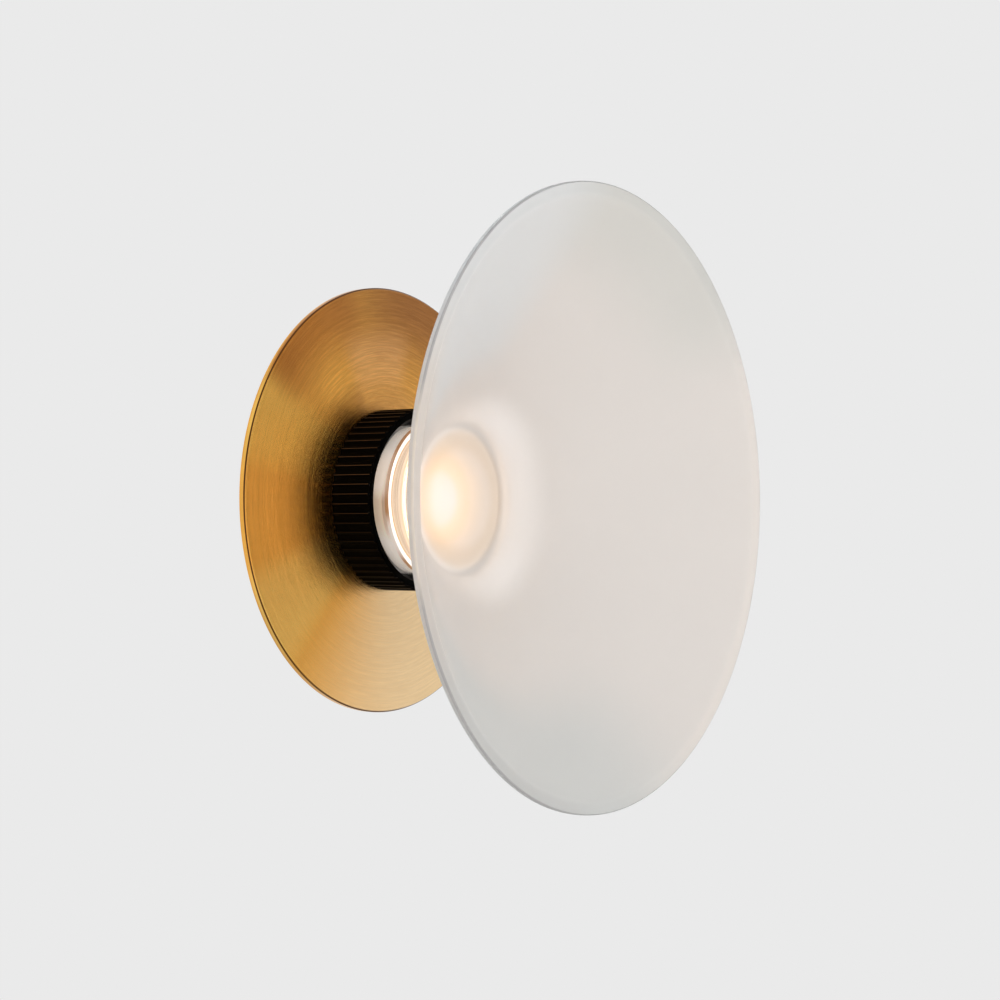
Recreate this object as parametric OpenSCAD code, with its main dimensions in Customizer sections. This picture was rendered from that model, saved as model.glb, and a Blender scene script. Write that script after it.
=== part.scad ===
// Wall sconce: a glass dish on a short clear neck, held by a fluted collar in front of a brass disc.
// Every size is in millimetres. The wall is the plane y = 0, the lamp looks along -Y, and +Z is up.
// Each piece is drawn with its height along +Z, as the distance from the wall, and out() turns it
// so that this height runs away from the wall and the drawing's second axis points up.

/* [Brass disc] */
// Diameter of the brass disc that lies on the wall
disc_d = 200; // [160:1:240]
// Thickness of the brass disc
disc_t = 3; // [2.5:0.5:4]
// Width and depth of the bright chamfer round the front of the disc
disc_chamfer = 0.8; // [0.4:0.1:1.2]

/* [Wall bracket] */
// Height of the flat steel bar inside the opening of the disc
bracket_w = 18; // [16:1:20]
// Thickness of the bar
bracket_t = 2; // [1.5:0.1:2.2]
// Distance between the two slots for the wall screws
slot_pitch = 60; // [56:0.5:66]
// Width of each slot
slot_w = 4.5; // [4:0.1:5]
// Length of each slot
slot_len = 8; // [6:0.5:8.5]
// Distance between the two screws that hold the housing to the bar
housing_screw_pitch = 32; // [30:0.5:33]

/* [Housing] */
// Thickness of the floor of the housing
floor_t = 3; // [2.5:0.5:4]
// Thickness of the round wall of the housing, under its thread
housing_wall = 3; // [2.5:0.1:3.2]
// Width of each window in the floor, over the heads of the wall screws
window_w = 10; // [9:0.5:11]
// Length of each window
window_len = 13; // [12:0.5:14]
// Depth of the thread, cut as rings
thread_depth = 0.7; // [0.5:0.05:0.8]
// How far the collar moves along the thread in one turn
thread_pitch = 2.5; // [2:0.5:3]
// How many turns free the collar
thread_turns = 4; // [3:1:4]
// Diameter of each post
post_d = 6; // [5:0.5:6.5]
// Plain part of the housing between its thread and its rim
thread_margin = 2.2; // [1.5:0.1:3]

/* [Fluted collar] */
// Gap between the collar and the disc, so that the collar turns freely
collar_gap = 0.35; // [0.3:0.05:0.6]
// Wall of the collar from its bore to the tops of the ribs
collar_wall = 2.05; // [1.8:0.05:2.3]
// Thickness of the inward lip that holds the glass by the ring on its neck
lip_t = 2.8; // [2:0.1:3]
// Number of flutes
flute_count = 60; // [36:4:64]
// Depth of each flute
flute_depth = 0.9; // [0.5:0.05:1]
// Width of the flat top left between two flutes
rib_top = 0.6; // [0.4:0.05:0.8]
// Chamfer round the front edge of the collar
collar_chamfer = 0.6; // [0.3:0.1:1]

/* [Glass] */
// Wall of the neck
neck_wall = 4.4; // [3.5:0.1:5]
// How far the ring that is bonded on the back of the neck stands out from it
flange_w = 1.9; // [1.6:0.1:2.2]
// Length of that ring along the neck
flange_t = 4; // [3:0.1:5]
// Diameter of the dish at its rim
dish_d = 276.4; // [240:0.5:300]
// Distance from the wall to the front of the rim
dish_front = 126; // [115:0.5:135]
// Thickness of the frosted end of the neck
septum_t = 4.4; // [3.5:0.1:5]
// Wall of the dish
dish_wall = 3.6; // [3:0.1:4.2]
// Width of the flatter band round the rim
band_w = 6; // [4:0.1:9]
// Slope of that band, in degrees
band_slope = 11; // [4:0.5:14]
// Thickness of the rim at its very edge
rim_t = 3.1; // [2.6:0.1:3.5]
// Radius on both corners of the rim
rim_round = 0.8; // [0.3:0.1:1]
// Radius between the frosted end and the dish
throat_r = 12; // [6:0.5:18]

/* [Gaskets] */
// Thickness of the soft ring between the housing and the glass
rear_gasket_t = 2; // [1.9:0.1:3]
// Thickness of the soft ring between the glass and the lip of the collar
front_gasket_t = 1; // [0.6:0.1:1.5]
// Width of the rear ring
rear_gasket_w = 2.6; // [2:0.1:2.8]

/* [Light source] */
// Wall of the drum
drum_wall = 1.6; // [1.2:0.1:1.8]
// Distance from the wall to the front of the drum
drum_front = 28; // [27.5:0.1:29]
// Thickness of the top plate of the drum
drum_plate_t = 2.5; // [2:0.1:3]
// Thickness of the flange that is screwed to the posts
spreader_t = 2; // [1.5:0.1:2.5]
// Thickness of the LED board
board_t = 1.6; // [1:0.1:2]
// Thickness of the soft pad behind the board
pad_t = 0.5; // [0.3:0.1:1]
// Number of LEDs in the outer ring
led_count = 12; // [8:1:14]
// Radius of the outer ring of LEDs
led_ring_r = 11.5; // [10.5:0.1:12]
// Number of LEDs in the inner ring
led_inner_count = 6; // [4:1:6]
// Radius of the inner ring of LEDs
led_inner_r = 5.5; // [5:0.1:6.5]
// Width of one LED package
led_w = 3; // [2:0.1:3.5]
// Height of one LED package
led_t = 0.8; // [0.5:0.1:1]
// Width of the foot of the lens outside its wall
lens_foot_w = 1.5; // [1.2:0.1:1.8]
// Wall of the lens
lens_wall = 1.8; // [1.2:0.1:2]
// Distance that the side of the lens stands over the drum
lens_side = 6.5; // [6:0.1:7.5]
// Rise of the domed front of the lens
lens_rise = 3.5; // [2:0.1:3.8]
// Thickness of the foot of the lens
lens_foot_t = 1.5; // [1:0.1:2]
// Wall of the ring that holds the lens
ring_wall = 1.5; // [1.2:0.1:1.8]
// Length of that ring along the drum
ring_len = 9; // [6:0.1:10]

/* [Driver] */
// Width of the driver case
driver_w = 36; // [33:0.5:39]
// Height of the driver case on the wall
driver_h = 19; // [17:0.5:21]
// Depth of the driver case, without its lid
driver_depth = 14.5; // [13:0.5:15.5]
// Wall of the case and thickness of its lid
driver_wall = 1.5; // [1:0.1:1.8]
// Length of each of its two lugs
lug_len = 6; // [5.5:0.1:6.5]

/* [Terminal block] */
// Width of the terminal block
block_w = 30; // [29:0.5:31]
// Height of the block on the wall
block_h = 13; // [12:0.5:13.5]
// Depth of the block
block_depth = 10; // [9.5:0.5:11]
// Distance between two poles of the block
pole_pitch = 10; // [9.8:0.1:10.5]

/* [Cable entry] */
// Bore of the rubber grommet for the supply cable
grommet_bore = 7; // [5:0.5:8]
// Diameter of the hole for the grommet in the floor
grommet_hole_d = 9.5; // [9.5:0.1:10]
// Diameter of the rims of the grommet
grommet_rim_d = 12; // [11.5:0.1:12]

/* [Screws and leads] */
// Thread of the screws that hold the housing, and of the earth screw
large_screw_d = 4; // [3.8:0.1:4.2]
// Thread of the small screws
small_screw_d = 2.5; // [2.2:0.1:2.8]
// Diameter of the mains leads
mains_lead_d = 2.2; // [2:0.1:2.4]
// Diameter of the LED leads
led_lead_d = 1.6; // [1.2:0.1:1.7]

/* [Hidden] */

$fn = 96;
// Overshoot of a cutting tool past the face that it cuts
cut = 1;
// Overlap that joins the shapes of one piece
fuse = 0.01;

// Clearances
run_clear = 0.05;      // radial, between the thread of the housing and the bore of the collar
fit_clear = 0.05;      // radial, between pieces that locate each other
screw_clear = 0.25;    // radial, where a screw passes freely
glass_clear = 0.35;    // radial, round the glass
tapped = 0.02;         // on the diameter, where a screw is screwed in
tip_gap = 0.3;         // between the tip of a screw and the bottom of its hole
floor_skin = 0.5;      // what is left under a blind hole in the floor
bracket_inset = 0.4;   // between the wall and the tip of a housing screw
bar_clear = 0.3;       // between the bar and the opening of the disc
flange_clear = 0.3;    // radial, between the ring of the neck and the bore of the collar
ring_clear = 1;        // radial, between the ring of the lens and the bore of the neck
driver_clear = 0.6;    // radial, between the corners of the driver and the drum
board_clear = 1.2;     // radial, between the LED board and the lens
lens_clear = 3.2;      // between the top of the lens and the end of the neck
slot_margin = 3.5;     // between the ends of the slots and the opening of the disc
disc_grip = 3.05;      // how far the housing overlaps the disc
neighbour = 0.25;      // between the driver, the grommet and the terminal block

// Screw heads
large_head_d = 7;
large_head_t = 2.2;
small_head_d = 4.7;
small_head_t = 1.7;

// Places up and down: the driver above the housing screws, the grommet and the block below them
driver_bottom = large_head_d / 2 + 0.5;
driver_up = driver_bottom + driver_h / 2;
grommet_down = grommet_rim_d / 2 + neighbour - driver_bottom;
block_down = grommet_down + grommet_rim_d / 2 + neighbour + block_h / 2;

// The collar is as wide as the driver in its drum or the slots behind the housing need
driver_reach = norm([driver_w / 2, driver_up + driver_h / 2]) + driver_clear
    + drum_wall + ring_wall + ring_clear + neck_wall + flange_w + flange_clear;
slot_reach = slot_pitch / 2 + slot_len / 2 + slot_margin + disc_grip + run_clear;
bore_r = max(driver_reach, slot_reach);
collar_r = bore_r + collar_wall;
thread_r = bore_r - run_clear;
disc_hole_r = thread_r - disc_grip;
flange_r = bore_r - flange_clear;
neck_r = flange_r - flange_w;
neck_bore_r = neck_r - neck_wall;
lip_r = neck_r + glass_clear;
ring_r = neck_bore_r - ring_clear;
drum_r = ring_r - ring_wall;
lens_r = drum_r - lens_foot_w;
board_r = lens_r - lens_wall - board_clear;

// Places along the axis, as distances from the wall
thread_travel = thread_pitch * thread_turns;
floor_front = disc_t + floor_t;
collar_rear = disc_t + collar_gap;
collar_len = thread_travel + thread_margin + rear_gasket_t + flange_t + front_gasket_t + lip_t;
collar_front = collar_rear + collar_len;
lip_rear = collar_front - lip_t;
flange_front = lip_rear - front_gasket_t;
flange_rear = flange_front - flange_t;
housing_rim = flange_rear - rear_gasket_t;
post_top = housing_rim - spreader_t;
thread_end = collar_rear + thread_travel;
pad_front = drum_front + pad_t;
board_front = pad_front + board_t;
lens_side_front = drum_front + lens_side;
septum_back = lens_side_front + lens_rise + lens_clear;
septum_front = septum_back + septum_t;

// Smaller sizes of the housing
thread_root = 0.25;
housing_r = thread_r - thread_depth - thread_root;
housing_bore_r = housing_r - housing_wall;
spigot_r = disc_hole_r - fit_clear;
spigot_depth = disc_t - bracket_t - bar_clear;
spigot_wall = 1.9;
window_x = slot_pitch / 2 - 1.5;
post_r = (housing_bore_r + drum_r) / 2;
post_hole = 6;
post_tip_gap = 1;

// The earth screw lies beside the terminal block
earth_x = block_w / 2 + 6.5;
earth_z = 0.5 - block_down;
tag_t = 0.8;
washer_t = 0.6;
tag_barrel_d = 3.2;
tag_barrel_len = 4;
tag_reach = 5;

// Poles of the terminal block
pole_x = [-pole_pitch, 0, pole_pitch];
clamp_d = 4.8;
clamp_bore_d = 2.6;
clamp_len = 9;
clamp_depth = floor_front + block_depth / 2;
clamp_screw_d = 2.2;
clamp_head_d = 3.4;
clamp_head_t = 1.2;
clamp_screw_step = 2.8;
strip_len = 3.5;

// The driver's inner parts
driver_back = floor_front;
driver_lid_back = driver_back + driver_depth;
driver_lid_front = driver_lid_back + driver_wall;
driver_board_t = 1.6;
driver_board_back = driver_back + driver_wall + 1.5;
driver_board_front = driver_board_back + driver_board_t;
lid_rim_h = 1.5;
driver_part_h = driver_lid_back - driver_board_front - lid_rim_h - tip_gap;
lug_w = 7;
lug_t = 2;

// The leads of the LED board pass the drum through one hole and meet a connector on the board
lead_hole_d = 5.5;
lead_hole_down = board_r - 4;
connector_w = 8;
connector_h = 4.6;
connector_t = 3.6;
connector_down = lead_hole_down - lead_hole_d / 2 - connector_h / 2 - 0.85;
board_screw_r = board_r - 6;
board_screw_turns = [90, 210, 330];
post_turns = [45, 135, 225, 315];

// Routes of the leads, as [across, up, distance from the wall], chosen by hand
lead_top = clamp_depth;
block_top = -block_down + block_h / 2;
lead_start_z = block_top - strip_len;
driver_side = driver_w / 2;
brown_route = [
    [pole_x[0], lead_start_z, lead_top], [pole_x[0], block_top + 2, lead_top],
    [-13, -2.5, 13], [-19, 0.5, 14.5], [-23, 4.5, 14.5], [-23, 8.5, 14.2],
    [-driver_side - 2.5, 10, 14], [-driver_side, 10, 14]];
blue_route = [
    [pole_x[1], lead_start_z, lead_top], [pole_x[1], block_top + 2, lead_top + 0.5],
    [-5, -2, 14.5], [-14, 1, 17], [-21, 4.5, 18], [-23.5, 10, 18], [-23, 15.5, 17.5],
    [-driver_side - 2.5, 17, 17], [-driver_side, 17, 17]];
earth_route = [
    [pole_x[2], lead_start_z, lead_top], [pole_x[2], block_top + 2, lead_top + 0.5],
    [13, -2.5, 12.5], [17.5, -0.5, 12], [20.6, -1, 9.6],
    [earth_x, earth_z + tag_reach + tag_barrel_len + 1.5, floor_front + tag_barrel_d / 2],
    [earth_x, earth_z + tag_reach + tag_barrel_len, floor_front + tag_barrel_d / 2]];
red_route = [
    [driver_side, 10, 16], [driver_side + 2.5, 10, 16], [24.2, 5, 17.5], [24.8, -3, 18.7],
    [21, -12, 19.4], [12.5, -19.5, 20], [5, -22.6, 20.8], [-0.6, -lead_hole_down, 22.6],
    [-1.1, -lead_hole_down, 25.5], [-1.1, -lead_hole_down, 30],
    [-1.1, -connector_down - connector_h / 2 - 2, 32],
    [-1.1, -connector_down - connector_h / 2, 32]];
black_route = [
    [driver_side, 16, 17.5], [driver_side + 2.5, 16, 17.5], [25.6, 10, 19], [27, 2, 20.6],
    [26, -7, 21.6], [21, -15.5, 22.2], [13, -21.2, 22.7], [6, -23.4, 23.2],
    [1.8, -lead_hole_down, 24.4], [1.1, -lead_hole_down, 27], [1.1, -lead_hole_down, 30],
    [1.1, -connector_down - connector_h / 2 - 2, 32],
    [1.1, -connector_down - connector_h / 2, 32]];

// Turns a drawing with its height along +Z so that the height runs away from the wall
module out() { rotate([90, 0, 0]) children(); }

// Lifts its children to a distance from the wall
module at(distance) { translate([0, 0, distance]) children(); }

// A ring or disc between two distances from the wall
module ring(outer, inner, from, to) {
    at(from) difference() {
        cylinder(r = outer, h = to - from);
        if (inner > 0) translate([0, 0, -cut]) cylinder(r = inner, h = to - from + 2 * cut);
    }
}

// A plate with round corners, centred on the axis
module round_plate(w, h, t, r) {
    linear_extrude(t) {
        square([w - 2 * r, h], center = true);
        square([w, h - 2 * r], center = true);
        for (x = [-1, 1], y = [-1, 1]) translate([x * (w / 2 - r), y * (h / 2 - r)]) circle(r, $fn = 32);
    }
}

// A slot along X, measured over its round ends
module slot(len, w, t) {
    linear_extrude(t) {
        square([len - w, w], center = true);
        for (x = [-1, 1]) translate([x * (len - w) / 2, 0]) circle(d = w, $fn = 48);
    }
}

// Points of an arc, from angle a0 to angle a1 in n steps
function arc(cx, cy, r, a0, a1, n) =
    [for (i = [0:n]) [cx + r * cos(a0 + (a1 - a0) * i / n), cy + r * sin(a0 + (a1 - a0) * i / n)]];

// A pan head screw, with the underside of its head at the origin and its thread towards -Z
module pan_screw(d, len, head_d, head_t) {
    r = head_d / 2;
    edge = head_t * 0.35;
    difference() {
        union() {
            rotate_extrude($fn = 48) polygon([
                [0, 0], [r, 0], [r, head_t - edge], [r - edge, head_t], [0, head_t]]);
            translate([0, 0, -len]) cylinder(d = d, h = len + fuse, $fn = 32);
        }
        for (turn = [0, 90]) rotate(turn)
            translate([-head_d * 0.28, -head_d * 0.06, head_t * 0.4])
                cube([head_d * 0.56, head_d * 0.12, head_t]);
    }
}

// A round tube swept along a smooth curve through the points of a route
function unit(v) = v / norm(v);
function spline(p, i, t) =
    let (a = p[max(i - 1, 0)], b = p[i], c = p[i + 1], d = p[min(i + 2, len(p) - 1)])
    0.5 * (2 * b + (c - a) * t + (2 * a - 5 * b + 4 * c - d) * t * t
        + (3 * b - a - 3 * c + d) * t * t * t);
function smooth(p, n) = concat(
    [for (i = [0:len(p) - 2], k = [0:n - 1]) spline(p, i, k / n)], [p[len(p) - 1]]);
function headings(route, p) = concat(
    [unit(route[1] - route[0])],
    [for (i = [1:len(p) - 2]) unit(p[i + 1] - p[i - 1])],
    [unit(route[len(route) - 1] - route[len(route) - 2])]);
function sides(h, i, last) = i == len(h) ? [] :
    let (s = unit(last - h[i] * (last * h[i]))) concat([s], sides(h, i + 1, s));

module lead(route, d, steps = 3) {
    n = 8;
    p = smooth(route, steps);
    h = headings(route, p);
    s = sides(h, 0, [0.31, 0.17, 0.93]);
    points = [for (i = [0:len(p) - 1], k = [0:n - 1])
        let (v = cross(h[i], s[i]), a = 360 * k / n)
        p[i] + d / 2 * (s[i] * cos(a) + v * sin(a))];
    last = (len(p) - 1) * n;
    faces = concat(
        [[for (k = [0:n - 1]) k]],
        [for (i = [0:len(p) - 2], k = [0:n - 1])
            [i * n + k, (i + 1) * n + k, (i + 1) * n + (k + 1) % n]],
        [for (i = [0:len(p) - 2], k = [0:n - 1])
            [i * n + k, (i + 1) * n + (k + 1) % n, i * n + (k + 1) % n]],
        [[for (k = [n - 1:-1:0]) last + k]]);
    polyhedron(points, faces);
}

// Flat brass disc with a chamfered front edge
module brass_disc() {
    r = disc_d / 2;
    color("goldenrod") out() rotate_extrude($fn = 240) polygon([
        [disc_hole_r, 0], [r, 0], [r, disc_t - disc_chamfer], [r - disc_chamfer, disc_t],
        [disc_hole_r, disc_t]]);
}

// Steel bar on the wall, inside the opening of the disc
module wall_bracket() {
    color("lightgray") out() difference() {
        intersection() {
            translate([-disc_hole_r, -bracket_w / 2, 0]) cube([2 * disc_hole_r, bracket_w, bracket_t]);
            cylinder(r = disc_hole_r - bar_clear, h = bracket_t);
        }
        for (x = [-1, 1]) translate([x * slot_pitch / 2, 0, -cut]) slot(slot_len, slot_w, bracket_t + 2 * cut);
        for (x = [-1, 1]) translate([x * housing_screw_pitch / 2, 0, -cut])
            cylinder(d = large_screw_d + tapped, h = bracket_t + 2 * cut);
        translate([0, -grommet_down, -cut]) cylinder(d = grommet_rim_d + 1, h = bracket_t + 2 * cut);
    }
}

// Round aluminium cup that carries the light source and the thread for the collar
module base_housing() {
    color("silver") out() difference() {
        union() {
            ring(thread_r, 0, disc_t, floor_front);
            ring(spigot_r, spigot_r - spigot_wall, disc_t - spigot_depth, disc_t + fuse);
            ring(housing_r, housing_bore_r, floor_front - fuse, housing_rim);
            difference() {
                ring(thread_r, housing_r - fuse, floor_front - fuse, thread_end);
                thread_rings();
            }
            for (a = post_turns) rotate(a) translate([post_r, 0, floor_front - fuse])
                cylinder(d = post_d, h = post_top - floor_front + fuse);
        }
        for (x = [-1, 1]) translate([x * window_x, 0, disc_t - cut]) slot(window_len, window_w, floor_t + 2 * cut);
        for (x = [-1, 1]) translate([x * housing_screw_pitch / 2, 0, disc_t - cut])
            cylinder(r = large_screw_d / 2 + screw_clear, h = floor_t + 2 * cut);
        translate([0, -grommet_down, disc_t - cut]) cylinder(d = grommet_hole_d, h = floor_t + 2 * cut);
        translate([earth_x, earth_z, disc_t - cut]) cylinder(d = large_screw_d + tapped, h = floor_t + 2 * cut);
        for (a = post_turns) rotate(a) translate([post_r, 0, post_top - post_hole])
            cylinder(d = small_screw_d + tapped, h = 6 + cut);
        for (x = [-1, 1]) translate([x * (driver_side + lug_len / 2), driver_up, disc_t + floor_skin])
            cylinder(d = small_screw_d + tapped, h = floor_t + cut);
        for (x = [-1, 1]) translate([x * pole_pitch / 2, -block_down, disc_t + floor_skin])
            cylinder(d = small_screw_d + tapped, h = floor_t + cut);
    }
}

// Ring grooves that show the pitch of the thread
module thread_rings() {
    groove = thread_pitch / 2;
    for (d = [floor_front + thread_pitch / 2:thread_pitch:thread_end - groove / 2])
        at(d) rotate_extrude() polygon([
            [thread_r - thread_depth, 0], [thread_r + cut, -groove / 2 - cut],
            [thread_r + cut, groove / 2 + cut]]);
}

// The two screws that pull the housing and the disc to the wall bracket
module housing_screws() {
    color("gainsboro") out() for (x = [-1, 1])
        translate([x * housing_screw_pitch / 2, 0, floor_front])
            pan_screw(large_screw_d, floor_front - bracket_inset, large_head_d, large_head_t);
}

// Rubber grommet in the floor, for the supply cable
module cable_grommet() {
    groove_r = grommet_hole_d / 2 - fit_clear;
    rim_t = 1.3;
    color("dimgray") out() translate([0, -grommet_down, 0]) rotate_extrude() polygon([
        [grommet_bore / 2, disc_t - rim_t], [grommet_rim_d / 2, disc_t - rim_t],
        [grommet_rim_d / 2, disc_t], [groove_r, disc_t], [groove_r, floor_front],
        [grommet_rim_d / 2, floor_front], [grommet_rim_d / 2 - 0.4, floor_front + rim_t],
        [grommet_bore / 2, floor_front + rim_t]]);
}

// Ring terminal of the earth lead
module earth_tag() {
    barrel_z = earth_z + tag_reach;
    color("lightsteelblue") out() difference() {
        union() {
            translate([earth_x, earth_z, floor_front]) cylinder(d = 8, h = tag_t);
            translate([earth_x - 1.4, earth_z, floor_front]) cube([2.8, tag_reach + 1, tag_t]);
            translate([earth_x, barrel_z, floor_front + tag_barrel_d / 2]) rotate([-90, 0, 0])
                cylinder(d = tag_barrel_d, h = tag_barrel_len, $fn = 32);
        }
        translate([earth_x, earth_z, floor_front - cut]) cylinder(d = large_screw_d + 0.3, h = tag_t + 2 * cut);
    }
}

// Toothed washer under the head of the earth screw
module earth_washer() {
    back = floor_front + tag_t;
    color("gainsboro") out() translate([earth_x, earth_z, back]) difference() {
        cylinder(d = 7.6, h = washer_t);
        translate([0, 0, -cut]) cylinder(d = large_screw_d + 0.3, h = washer_t + 2 * cut);
        for (a = [0:30:330]) rotate(a) translate([3.3, -0.25, -cut]) cube([1, 0.5, washer_t + 2 * cut]);
    }
}

// Earth screw
module earth_screw() {
    head_back = floor_front + tag_t + washer_t;
    color("gold") out() translate([earth_x, earth_z, head_back])
        pan_screw(large_screw_d, head_back - disc_t, large_head_d, large_head_t);
}

// Earth lead, from the block to its ring terminal
module earth_lead() { color("yellowgreen") out() lead(earth_route, mains_lead_d); }

// Nylon body of the three-pole terminal block
module terminal_body() {
    color("ivory") out() translate([0, -block_down, 0]) difference() {
        at(floor_front) round_plate(block_w, block_h, block_depth, 1);
        for (x = pole_x) translate([x, -block_h / 2 - cut, clamp_depth]) rotate([-90, 0, 0])
            cylinder(d = clamp_d + 2 * fit_clear, h = block_h + 2 * cut);
        for (x = pole_x, z = [-1, 1]) translate([x, z * clamp_screw_step, clamp_depth])
            cylinder(d = clamp_head_d + 0.4, h = block_depth, $fn = 48);
        for (x = [-1, 1]) translate([x * pole_pitch / 2, 0, floor_front - cut]) {
            cylinder(r = small_screw_d / 2 + screw_clear, h = block_depth + 2 * cut, $fn = 48);
            translate([0, 0, block_depth + cut - small_head_t - 1]) cylinder(d = small_head_d + 0.2, h = 10, $fn = 48);
        }
    }
}

// Brass sleeves of the block, one for each pole
module terminal_clamps() {
    color("gold") out() for (x = pole_x) translate([x, -block_down, clamp_depth]) difference() {
        rotate([90, 0, 0]) translate([0, 0, -clamp_len / 2]) cylinder(d = clamp_d, h = clamp_len, $fn = 48);
        rotate([90, 0, 0]) translate([0, 0, -clamp_len / 2 - cut])
            cylinder(d = clamp_bore_d, h = clamp_len + 2 * cut, $fn = 48);
        for (z = [-1, 1]) translate([0, z * clamp_screw_step, 0])
            cylinder(d = clamp_screw_d + tapped, h = clamp_d, $fn = 32);
    }
}

// Screws that clamp the leads in the sleeves
module terminal_clamp_screws() {
    head_back = clamp_depth + clamp_d / 2 + 0.1;
    color("gainsboro") out() for (x = pole_x, z = [-1, 1])
        translate([x, -block_down + z * clamp_screw_step, head_back])
            pan_screw(clamp_screw_d, clamp_d / 2 - mains_lead_d / 2, clamp_head_d, clamp_head_t);
}

// Screws that hold the block to the floor
module terminal_fixing_screws() {
    head_back = floor_front + block_depth - small_head_t - 1;
    color("gainsboro") out() for (x = [-1, 1]) translate([x * pole_pitch / 2, -block_down, head_back])
        pan_screw(small_screw_d, head_back - disc_t - floor_skin - tip_gap, small_head_d, small_head_t);
}

// Open case of the LED driver, with a lug on each side
module driver_case() {
    color("white") out() translate([0, driver_up, driver_back]) difference() {
        union() {
            round_plate(driver_w, driver_h, driver_depth, 1.5);
            round_plate(driver_w + 2 * lug_len, lug_w, lug_t, lug_w / 2 - 0.5);
        }
        translate([0, 0, driver_wall])
            round_plate(driver_w - 2 * driver_wall, driver_h - 2 * driver_wall, driver_depth, 0.8);
        for (x = [-1, 1]) translate([x * (driver_side + lug_len / 2), 0, -cut])
            cylinder(r = small_screw_d / 2 + screw_clear, h = lug_t + 2 * cut, $fn = 48);
    }
    color("white") out() for (x = [-1, 1], z = [-1, 1])
        translate([x * (driver_side - driver_wall - 2.5), driver_up + z * (driver_h / 2 - driver_wall - 2),
            driver_back + driver_wall - fuse])
            cylinder(d = 3, h = driver_board_back - driver_back - driver_wall + fuse, $fn = 32);
}

// Lid of the driver, with a rim inside the case
module driver_lid() {
    inner_w = driver_w - 2 * driver_wall - 2 * fit_clear;
    inner_h = driver_h - 2 * driver_wall - 2 * fit_clear;
    color("whitesmoke") out() translate([0, driver_up, driver_lid_back]) {
        round_plate(driver_w, driver_h, driver_wall, 1.5);
        translate([0, 0, -lid_rim_h]) difference() {
            round_plate(inner_w, inner_h, lid_rim_h + fuse, 0.8);
            translate([0, 0, -cut]) round_plate(inner_w - 2, inner_h - 2, lid_rim_h + cut, 0.5);
        }
    }
}

// Circuit board of the driver
module driver_board() {
    inner_w = driver_w - 2 * driver_wall - 0.6;
    inner_h = driver_h - 2 * driver_wall - 0.6;
    color("darkgreen") out() translate([0, driver_up, driver_board_back])
        round_plate(inner_w, inner_h, driver_board_t, 0.6);
}

// Transformer: a wound bobbin in a square core
module driver_transformer() {
    w = 12;
    h = 11;
    yoke = 1.6;
    window = 8;
    color("khaki") out() translate([-6.5, driver_up, driver_board_front]) {
        difference() {
            translate([-w / 2, -h / 2, 0]) cube([w, h, driver_part_h]);
            translate([-window / 2, -h / 2 - cut, yoke]) cube([window, h + 2 * cut, driver_part_h - 2 * yoke]);
        }
        at(yoke - fuse) cylinder(d = window - 0.4, h = driver_part_h - 2 * (yoke - fuse));
    }
}

// The two upright capacitors
module driver_capacitors() {
    color("royalblue") out() translate([0, driver_up, driver_board_front]) {
        translate([5, 2.6, 0]) cylinder(d = 7, h = driver_part_h, $fn = 48);
        translate([12, 3.4, 0]) cylinder(d = 5, h = driver_part_h - 1.5, $fn = 48);
    }
}

// Small drum choke
module driver_choke() {
    color("saddlebrown") out() translate([8.5, driver_up - 4.4, driver_board_front]) rotate_extrude($fn = 48)
        polygon([[0, 0], [2.8, 0], [2.8, 1], [2, 1], [2, 4.5], [2.8, 4.5], [2.8, 5.5], [0, 5.5]]);
}

// Screws through the lugs of the driver
module driver_screws() {
    color("gainsboro") out() for (x = [-1, 1])
        translate([x * (driver_side + lug_len / 2), driver_up, driver_back + lug_t])
            pan_screw(small_screw_d, lug_t + floor_t - floor_skin - tip_gap, small_head_d, small_head_t);
}

// Mains leads, from the block to the driver
module brown_lead() { color("sienna") out() lead(brown_route, mains_lead_d); }
module blue_lead() { color("dodgerblue") out() lead(blue_route, mains_lead_d); }

// Aluminium drum that carries the LED board over the driver
module heat_spreader() {
    plate_back = drum_front - drum_plate_t;
    flange_r = housing_bore_r - 0.3;
    color("silver") out() difference() {
        union() {
            ring(flange_r, drum_r - drum_wall, post_top, housing_rim);
            ring(drum_r, drum_r - drum_wall, post_top, drum_front);
            ring(drum_r, 0, plate_back, drum_front);
        }
        for (a = post_turns) rotate(a) translate([post_r, 0, post_top - cut])
            cylinder(r = small_screw_d / 2 + 0.15, h = spreader_t + 2 * cut, $fn = 48);
        for (a = board_screw_turns) rotate(a) translate([board_screw_r, 0, plate_back - cut])
            cylinder(d = small_screw_d + tapped, h = drum_plate_t + 2 * cut, $fn = 48);
        lead_hole(plate_back, drum_front);
    }
}

// Hole for the LED leads, through the plate, the pad and the board
module lead_hole(from, to) {
    translate([0, -lead_hole_down, from - cut]) cylinder(d = lead_hole_d, h = to - from + 2 * cut, $fn = 48);
}

// Screws that hold the heat spreader on the posts
module spreader_screws() {
    color("gainsboro") out() for (a = post_turns) rotate(a) translate([post_r, 0, housing_rim])
        pan_screw(small_screw_d, spreader_t + post_hole - post_tip_gap, small_head_d - 0.2, small_head_t - 0.1);
}

// Soft pad that carries the heat from the board to the drum
module thermal_pad() {
    color("lightpink") out() difference() {
        ring(board_r, 0, drum_front, pad_front);
        for (a = board_screw_turns) rotate(a) translate([board_screw_r, 0, drum_front - cut])
            cylinder(r = small_screw_d / 2 + screw_clear, h = pad_t + 2 * cut, $fn = 48);
        lead_hole(drum_front, pad_front);
    }
}

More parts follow.
